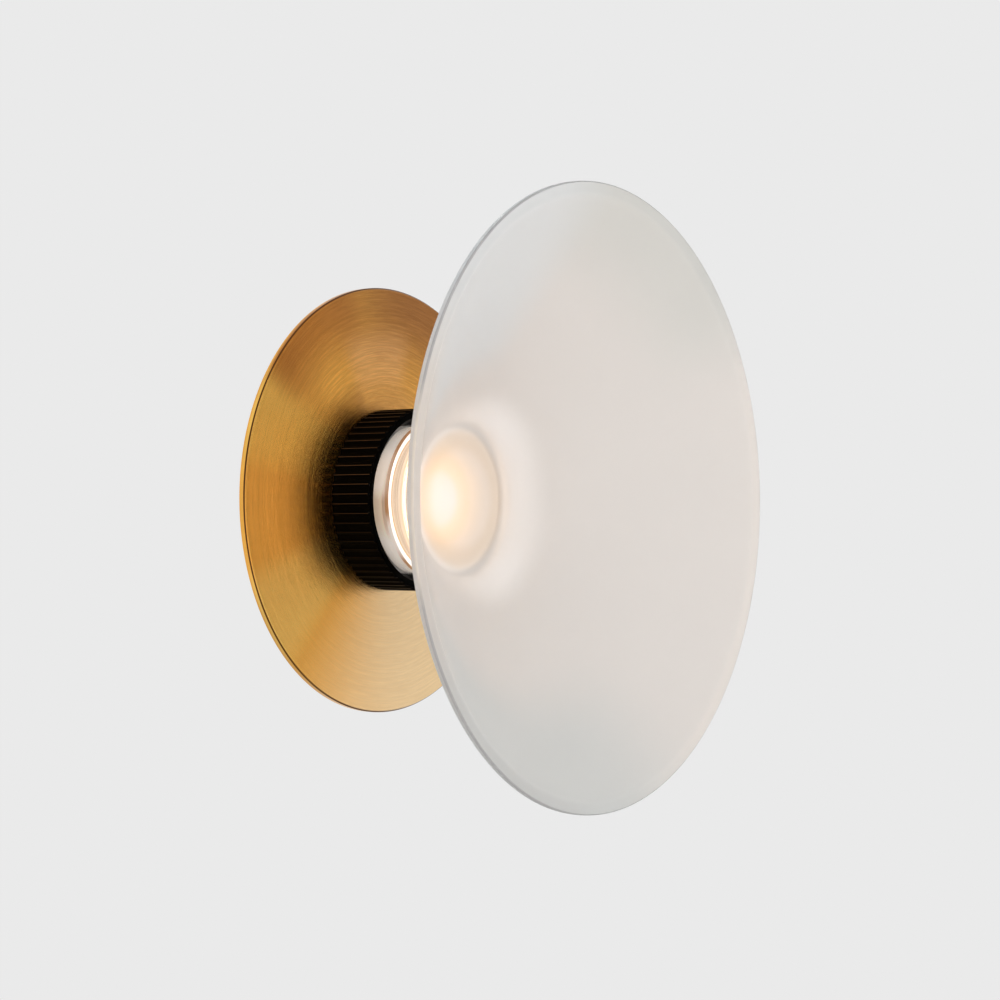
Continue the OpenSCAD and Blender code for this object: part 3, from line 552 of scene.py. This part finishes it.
def ring_plastic():
    """Pale satin plastic with a painted glow for the light it passes: brown before its front edge, bright at
    it.
    """
    m = material("ring_plastic")
    radius, distance, angle = m.places()
    grain = m.noise(m.coordinates(), 1800.0, 2.0, 0.5)
    over_edge = distance + (LENS_RING_R - radius)
    # Painted reflections: paler away from the left, and in streaks above and below
    off_left = 1 - m.step(m.towards(angle, LEFT), 0.80, 1.0)
    upper, lower = (m.step(m.towards(angle, degrees), 0.92, 1.0) for degrees in (160, 212))
    pale = (0.94, 0.93, 0.92)
    shade = m.mix(off_left, (0.78, 0.66, 0.54), pale)
    passed = m.mix(off_left, (0.38, 0.28, 0.195), (0.42, 0.36, 0.31))
    # Start of each zone in millimetres, over the front edge and inwards, its colour with painted shade, and
    # its painted glow
    for start, next_shade, next_passed in (
            (26.6, m.mix(off_left, (0.60, 0.46, 0.36), pale),
             m.mix(off_left, (0.22, 0.145, 0.10), (0.36, 0.31, 0.27))),
            (28.4, m.mix(lower * 0.7, (0.42, 0.24, 0.13), pale),
             m.mix(lower * 0.7, (0.20, 0.085, 0.04), (0.50, 0.49, 0.49))),
            (30.6, (0.90, 0.90, 0.90), (0.98, 0.97, 0.95)),
            (32.6, (0.55, 0.40, 0.25), (0.45, 0.26, 0.10))):
        zone = m.window(over_edge, (start, start + 0.5))
        shade, passed = m.mix(zone, shade, next_shade), m.mix(zone, passed, next_passed)
    # Painted reflection: a pale streak on the upper side, up to the front edge
    upper = upper * (1 - m.window(over_edge, (27.4, 29.4)) * 0.65) * 0.8
    upper = upper * m.window(over_edge, fall=(30.1, 30.6))
    shade, passed = m.mix(upper, shade, pale), m.mix(upper, passed, (0.59, 0.475, 0.385))
    return m.finish(m.surface(
        base_color=shade, roughness=m.spread(grain, 0.38, 0.48), emission_color=passed, emission_strength=1.0,
        normal=m.bump(grain, 0.01 * MM, 0.4)))


def led_phosphor():
    """Yellow when unlit, and lit a little pink, so that the satin glass in front of it shows a warm white."""
    m = material("led_phosphor")
    speck = m.noise(m.coordinates(), 3000.0, 2.0, 0.5)
    lit = m.mix(speck, (1.0, 0.54, 0.84), (1.0, 0.58, 0.88))
    return m.finish(m.surface(
        base_color=(0.88, 0.62, 0.12), roughness=0.4, emission_color=lit, emission_strength=LED_STRENGTH))


def plain(name, shade, roughness, metallic=0.0, grain=1500.0):
    """A moulded, cast or drawn finish with a fine grain."""
    m = material(name)
    speck = m.noise(m.coordinates(), grain, 3.0, 0.6)
    cloud = m.noise(m.coordinates(), 60.0, 2.0, 0.5)
    dark = tuple(part * 0.94 for part in shade)
    light = tuple(part * 1.06 for part in shade)
    return m.finish(m.surface(
        base_color=m.mix(cloud, dark, light), metallic=metallic,
        roughness=m.spread(speck, roughness * 0.85, roughness * 1.15),
        normal=m.bump(speck, 0.02 * MM, 0.5)))


def striped_sleeve():
    """Green insulation with a yellow stripe along it."""
    m = material("green_yellow_sleeve")
    distance = m.split(m.coordinates())[1]
    grain = m.noise(m.coordinates(), 1500.0, 2.0, 0.5)
    stripe = m.step(m.function("SINE", distance * 2600.0) + grain * 0.3, 0.1, 0.3)
    return m.finish(m.surface(
        base_color=m.mix(stripe, (0.02, 0.22, 0.02), (0.75, 0.55, 0.02)), roughness=0.35,
        normal=m.bump(grain, 0.01 * MM, 0.4)))


# Pieces


def make_disc():
    """The brass disc, with its opening and its chamfered edge. Two rings divide its face."""
    piece = turned("brass_disc_face", [
        (DISC_HOLE_R, 0), (DISC_HOLE_R, DISC_T), *((ring, DISC_T) for ring in FACE_RINGS),
        (DISC_R - DISC_CHAMFER, DISC_T), (DISC_R, DISC_T - DISC_CHAMFER), (DISC_R, 0)])
    smooth(piece)
    give(piece, brushed_brass())
    fit(piece, "fixture", "brushed_brass", "brass_disc")


def flute_outline():
    """One flute and half a rib on each side of it, as (angle round the axis, distance from the axis)."""
    pitch = 2 * math.pi / FLUTES
    half_rib = RIB_TOP / 2 / COLLAR_R
    half_flat = half_rib * 0.7
    chord = 2 * COLLAR_R * math.sin(pitch / 2 - half_rib)
    flute_r = (chord * chord / 4 + FLUTE_DEPTH * FLUTE_DEPTH) / (2 * FLUTE_DEPTH)
    centre = COLLAR_R - FLUTE_DEPTH + flute_r
    reach = math.asin(chord / 2 / flute_r)
    crest = [(-pitch / 2, COLLAR_R), (-pitch / 2 + half_flat, COLLAR_R)]
    flute = []
    steps = 10
    for i in range(steps + 1):
        turn = -reach + 2 * reach * i / steps
        across, up = flute_r * math.sin(turn), centre - flute_r * math.cos(turn)
        worn = WORN_CREST if i in (0, steps) else 0
        flute.append((math.atan2(across, up), math.hypot(across, up) - worn))
    return crest + flute + [(-angle, radius) for angle, radius in reversed(crest)]


def flute_ring():
    """Draws one flute and copies it round the axis, at the collar's rear."""
    deselect_all()
    bpy.ops.mesh.primitive_plane_add(size=1 * MM, location=(0, 0, 0))
    piece = bpy.context.object
    piece.name = "fluted_collar_ring"
    edit(piece)
    bpy.ops.mesh.select_all(action="SELECT")
    bpy.ops.mesh.merge(type="CENTER")
    spots = [Vector((r * math.cos(a), -COLLAR_REAR, r * math.sin(a))) for a, r in flute_outline()]
    bpy.ops.transform.translate(value=spots[0])
    for before, after in zip(spots, spots[1:]):
        bpy.ops.mesh.extrude_vertices_move(TRANSFORM_OT_translate={"value": after - before})
    bpy.ops.mesh.select_all(action="SELECT")
    turn = 2 * math.pi / FLUTES
    bpy.ops.mesh.spin(
        steps=FLUTES - 1, angle=turn * (FLUTES - 1), dupli=True, center=(0, 0, 0), axis=(0, 1, 0))
    bpy.ops.mesh.select_all(action="SELECT")
    bpy.ops.mesh.remove_doubles(threshold=MERGE)
    return piece


def pull_flutes(piece):
    """Pulls the fluted ring out to the collar's length.

    The chamfers cut the ribs and run out in the flutes.
    """
    shape = {round(radius, 9): round(radius, 9) for _, radius in flute_outline()}
    distance = COLLAR_REAR
    for limit_in, at in (
            (COLLAR_REAR_CHAMFER, COLLAR_REAR), (0, COLLAR_REAR + COLLAR_REAR_CHAMFER),
            (0, COLLAR_FRONT - COLLAR_CHAMFER), (COLLAR_CHAMFER / 2, COLLAR_FRONT - COLLAR_CHAMFER / 2),
            (COLLAR_CHAMFER, COLLAR_FRONT)):
        if at > distance:
            extrude_ring(at - distance, 1, at)
        distance = at
        for radius, now in list(shape.items()):
            then = min(radius, COLLAR_R - limit_in)
            if abs(then - now) > SAME / 2:
                pick(piece, lambda place: abs(-place.y - at) < SAME and abs(from_axis(place) - now) < SAME)
                bpy.ops.transform.resize(value=(then / now, 1, then / now), center_override=(0, -at, 0))
                shape[radius] = then
        pick(piece, lambda place: abs(-place.y - at) < SAME)


def close_collar(piece):
    """Adds the front face, as a true ring inside the flutes, then the lip and the bore."""
    drawn_in = 0.98
    inside_flutes = COLLAR_R - FLUTE_DEPTH - 0.2 * MM
    extrude_ring(0, drawn_in, COLLAR_FRONT)
    bpy.ops.transform.tosphere(value=1, center_override=(0, -COLLAR_FRONT, 0))
    bpy.ops.object.mode_set(mode="OBJECT")
    radius, distance = from_axis(piece.data.vertices[-1].co), COLLAR_FRONT
    bpy.ops.object.mode_set(mode="EDIT")
    for next_radius, at in (
            (inside_flutes, COLLAR_FRONT), (COLLAR_LIP_R + LIP_CHAMFER, COLLAR_FRONT),
            (COLLAR_LIP_R, COLLAR_FRONT - LIP_CHAMFER), (COLLAR_LIP_R, COLLAR_LIP_REAR),
            (COLLAR_BORE_R, COLLAR_LIP_REAR), (COLLAR_BORE_R, COLLAR_REAR + BORE_CHAMFER),
            (COLLAR_BORE_R + BORE_CHAMFER, COLLAR_REAR)):
        extrude_ring(at - distance, next_radius / radius, at)
        radius, distance = next_radius, at
    bpy.ops.mesh.select_mode(type="EDGE")
    bpy.ops.mesh.select_all(action="DESELECT")
    bpy.ops.mesh.select_non_manifold()
    bpy.ops.mesh.bridge_edge_loops()
    tidy_shell()
    bpy.ops.object.mode_set(mode="OBJECT")


def make_collar():
    """The fluted collar."""
    piece = flute_ring()
    pull_flutes(piece)
    close_collar(piece)
    smooth(piece, 24)
    give(piece, black_metal())
    fit(piece, "collar", "black_metal", "fluted_collar")


def make_glass():
    """The glass: clear neck, frosted end, dish and banded rim, in one shell."""
    rim_back = DISH_FRONT - RIM_T
    band_r = DISH_R - BAND_W
    band_back = DISH_FRONT - (BAND_W - RIM_ROUND) * math.tan(BAND_SLOPE)
    # The cone of the dish points at the front of the neck's end, just inside its bore
    slope = math.atan((band_back - SEPTUM_FRONT) / (band_r - (NECK_BORE_R - 0.75 * MM)))
    leaning = math.degrees(slope)
    wall_back = DISH_WALL / math.cos(slope)
    throat_x = band_r - (band_back - SEPTUM_FRONT) / math.tan(slope) - THROAT_R * math.tan(slope / 2)
    cone_at_neck = band_back - (band_r - NECK_R) * math.tan(slope) - wall_back
    fillet_back = cone_at_neck - NECK_FILLET * math.tan(math.pi / 4 - slope / 2)
    back_r = band_r + (rim_back + wall_back - band_back) / math.tan(slope)
    band_degrees = math.degrees(BAND_SLOPE)
    edge = 0.35 * MM
    back_edge = 0.4 * MM
    outline = [(CORE_R, SEPTUM_BACK), (NECK_BORE_R / 2, SEPTUM_BACK)]
    outline += arc(NECK_BORE_R - BORE_CORNER, SEPTUM_BACK - BORE_CORNER, BORE_CORNER, 90, 0, 8)
    outline += [(NECK_BORE_R, NECK_REAR + edge), (NECK_BORE_R + edge, NECK_REAR),
                (NECK_R - edge, NECK_REAR), (NECK_R, NECK_REAR + edge)]
    outline += arc(NECK_R + NECK_FILLET, fillet_back, NECK_FILLET, 180, 90 + leaning, 8)
    outline += [(back_r - back_edge, rim_back - back_edge * math.tan(slope)), (back_r + back_edge, rim_back)]
    outline += arc(DISH_R - RIM_ROUND, rim_back + RIM_ROUND, RIM_ROUND, -90, 0, 6)
    outline += arc(DISH_R - RIM_ROUND, DISH_FRONT - RIM_ROUND, RIM_ROUND, 0, 90 + band_degrees, 8)
    # A bend between the band and the cone, tangent to both
    half_bend = (slope - BAND_SLOPE) / 2
    bend_turn = math.pi / 2 + BAND_SLOPE + half_bend
    bend_reach = BAND_BEND / math.cos(half_bend)
    outline += arc(band_r - bend_reach * math.cos(bend_turn), band_back - bend_reach * math.sin(bend_turn),
                   BAND_BEND, 90 + band_degrees, 90 + leaning, 6)
    outline += arc(throat_x, SEPTUM_FRONT + THROAT_R, THROAT_R, -90 + leaning, -90, 12)
    outline += [(throat_x / 2, SEPTUM_FRONT), (CORE_R, SEPTUM_FRONT)]
    piece = turned("glass_dish_shell", outline, solid_core=True)
    smooth(piece)
    give(piece, shade_glass())
    fit(piece, "shade", "frosted_glass", "glass_shade")


def make_lens():
    """The satin lens: a foot, an upright side and a domed front, all as one thin shell."""
    dome_r = (LENS_R * LENS_R + LENS_RISE * LENS_RISE) / (2 * LENS_RISE)
    dome_back = LENS_SIDE_FRONT + LENS_RISE - dome_r
    reach = math.degrees(math.asin(LENS_R / dome_r))
    inner_reach = math.degrees(math.asin((LENS_R - LENS_WALL) / (dome_r - LENS_WALL)))
    nearly = math.degrees(CORE_R / dome_r)
    foot_front = DRUM_FRONT + LENS_FOOT_T
    edge = 0.2 * MM
    fillet = 0.3 * MM
    # The shoulder between the side and the dome is rounded by two points
    corner = 0.7 * MM
    outline = arc(0, dome_back, dome_r - LENS_WALL, 90 - nearly, 90 - inner_reach, 12)
    outline += [(LENS_R - LENS_WALL, DRUM_FRONT), (DRUM_R - edge, DRUM_FRONT), (DRUM_R, DRUM_FRONT + edge),
                (DRUM_R, foot_front - edge), (DRUM_R - edge, foot_front), (LENS_R + fillet, foot_front),
                (LENS_R, foot_front + fillet), (LENS_R, LENS_SIDE_FRONT - corner),
                (LENS_R - 0.12 * corner, LENS_SIDE_FRONT - 0.45 * corner),
                (LENS_R - 0.45 * corner, LENS_SIDE_FRONT - 0.05 * corner)]
    outline += arc(0, dome_back, dome_r, 90 - reach + math.degrees(corner / dome_r), 90 - nearly, 12)
    piece = turned("satin_lens", outline, solid_core=True, sides=LENS_SIDES)
    smooth(piece)
    give(piece, opal_lens())
    fit(piece, "fixture", "opal_lens", "led_lens")


def make_lens_ring():
    """The pale ring over the foot of the lens."""
    foot_front = DRUM_FRONT + LENS_FOOT_T
    front, back = -lens_ring_low[1], -lens_ring_high[1]
    inner = DRUM_R + 0.05 * MM
    lip = LENS_R + 0.3 * MM
    lip_edge = 0.1 * MM
    rear_edge = 0.2 * MM
    edge = 0.5 * MM
    outline = [(inner, back), (LENS_RING_R - rear_edge, back), (LENS_RING_R, back + rear_edge)]
    outline += arc(LENS_RING_R - edge, front - edge, edge, 0, 90, 5)
    outline += [(lip + lip_edge, front), (lip, front - lip_edge), (lip, foot_front), (inner, foot_front)]
    piece = turned("lens_holding_ring", outline, sides=LENS_SIDES)
    smooth(piece)
    give(piece, ring_plastic())
    fit(piece, "fixture", "ring_plastic", "lens_ring")


def dress_inner_parts():
    """Finishes for the parts that keep their construction's mesh."""
    for finish, *nodes in (
            (plain("zinc_plated_steel", (0.66, 0.67, 0.68), 0.34, 1.0, 900.0), "wall_bracket"),
            (plain("cast_aluminium", (0.60, 0.61, 0.62), 0.46, 1.0, 1400.0), "base_housing"),
            (plain("steel_screws", (0.64, 0.64, 0.65), 0.28, 1.0, 2500.0),
             "housing_screws", "earth_washer", "terminal_clamp_screws", "terminal_fixing_screws",
             "driver_screws", "spreader_screws", "board_screws"),
            (plain("grommet_rubber", (0.010, 0.010, 0.010), 0.72), "cable_grommet"),
            (plain("tinned_copper", (0.66, 0.64, 0.60), 0.38, 1.0), "earth_tag"),
            (plain("brass_fittings", (0.74, 0.53, 0.25), 0.30, 1.0, 2200.0),
             "earth_screw", "terminal_clamps"),
            (plain("nylon", (0.74, 0.72, 0.64), 0.42), "terminal_body"),
            (plain("driver_plastic", (0.70, 0.70, 0.67), 0.55), "driver_case", "driver_lid"),
            (plain("board_laminate", (0.008, 0.06, 0.02), 0.30), "driver_board"),
            (plain("ferrite_and_tape", (0.016, 0.016, 0.017), 0.55), "driver_transformer"),
            (plain("capacitor_sleeve", (0.006, 0.012, 0.06), 0.28), "driver_capacitors"),
            (plain("enamelled_copper", (0.30, 0.06, 0.015), 0.30), "driver_choke"),
            (plain("brown_sleeve", (0.055, 0.018, 0.007), 0.35), "brown_lead"),
            (plain("blue_sleeve", (0.006, 0.035, 0.30), 0.35), "blue_lead"),
            (plain("spun_aluminium", (0.70, 0.71, 0.72), 0.33, 1.0), "heat_spreader", "neck_ring"),
            (plain("silicone_pad", (0.30, 0.33, 0.38), 0.75), "thermal_pad"),
            (plain("white_board", (0.80, 0.80, 0.77), 0.40), "led_board"),
            (led_phosphor(), "leds"),
            (plain("connector_plastic", (0.80, 0.80, 0.77), 0.45), "lead_connector"),
            (plain("red_sleeve", (0.40, 0.008, 0.008), 0.35), "red_lead"),
            (plain("black_sleeve", (0.010, 0.010, 0.010), 0.35), "black_lead"),
            (plain("soft_seal", (0.035, 0.035, 0.035), 0.70), "rear_gasket", "front_gasket"),
            (striped_sleeve(), "earth_lead")):
        for node in nodes:
            give(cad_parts[node], finish)


# Stage and light


def make_floor():
    deselect_all()
    bpy.ops.mesh.primitive_grid_add(
        x_subdivisions=4, y_subdivisions=4, size=FLOOR_SIZE, location=FLOOR_AT)
    floor = bpy.context.object
    floor.name = "pale_floor"
    m = material("pale_floor_paint")
    cloud = m.noise(m.coordinates(), 3.0, 2.0, 0.5)
    paint = m.mix(cloud, (0.80, 0.79, 0.78), (0.83, 0.82, 0.81))
    give(floor, m.finish(m.surface(base_color=paint, roughness=0.9)))


def make_world():
    """A flat pale backdrop for the camera, with soft light from all round.

    Metal and glass show the backdrop on the wall's side, and on the other side a room that is paler below.
    """
    world = bpy.data.worlds.new("studio")
    bpy.context.scene.world = world
    w = Finish(world)
    _, to_wall, up = w.split(w.node("ShaderNodeTexCoord", output="Generated"))
    camera, glossy, passed = (
        w.node("ShaderNodeLightPath", output=name)
        for name in ("Is Camera Ray", "Is Glossy Ray", "Is Transmission Ray"))
    room = w.mix(w.step(up, -0.18, 0.22), ROOM_BELOW, ROOM_ABOVE)
    shown = w.mix(camera, w.mix(w.step(to_wall, 0.0, 0.3), room, BACKDROP), BACKDROP)
    seen = w.node("ShaderNodeMath", {"operation": "ADD", "use_clamp": True}, {0: camera + glossy, 1: passed})
    light = w.mix(w.step(up, -0.3, 0.4), LIGHT_BELOW, LIGHT_ABOVE)
    soft = w.node("ShaderNodeBackground", {}, {"Color": light, "Strength": 1.0})
    backdrop = w.node("ShaderNodeBackground", {}, {"Color": shown, "Strength": 1.0})
    w.finish(w.node("ShaderNodeMixShader", {}, {0: seen, 1: soft, 2: backdrop}), "ShaderNodeOutputWorld")


def add_lamp():
    data = bpy.data.lights.new("front_soft", "AREA")
    data.shape = "DISK"
    data.size = LAMP_SIZE
    data.energy = LAMP_POWER
    data.color = LAMP_COLOUR
    lamp = bpy.data.objects.new("front_soft", data)
    lamp.location = LAMP_AT
    lamp.rotation_euler = (Vector(LAMP_AIM) - Vector(LAMP_AT)).to_track_quat("-Z", "Y").to_euler()
    bpy.context.collection.objects.link(lamp)


add_camera()
make_disc()
make_collar()
make_glass()
make_lens()
make_lens_ring()
dress_inner_parts()
make_floor()
make_world()
add_lamp()

bpy.context.scene.view_settings.view_transform = "Standard"
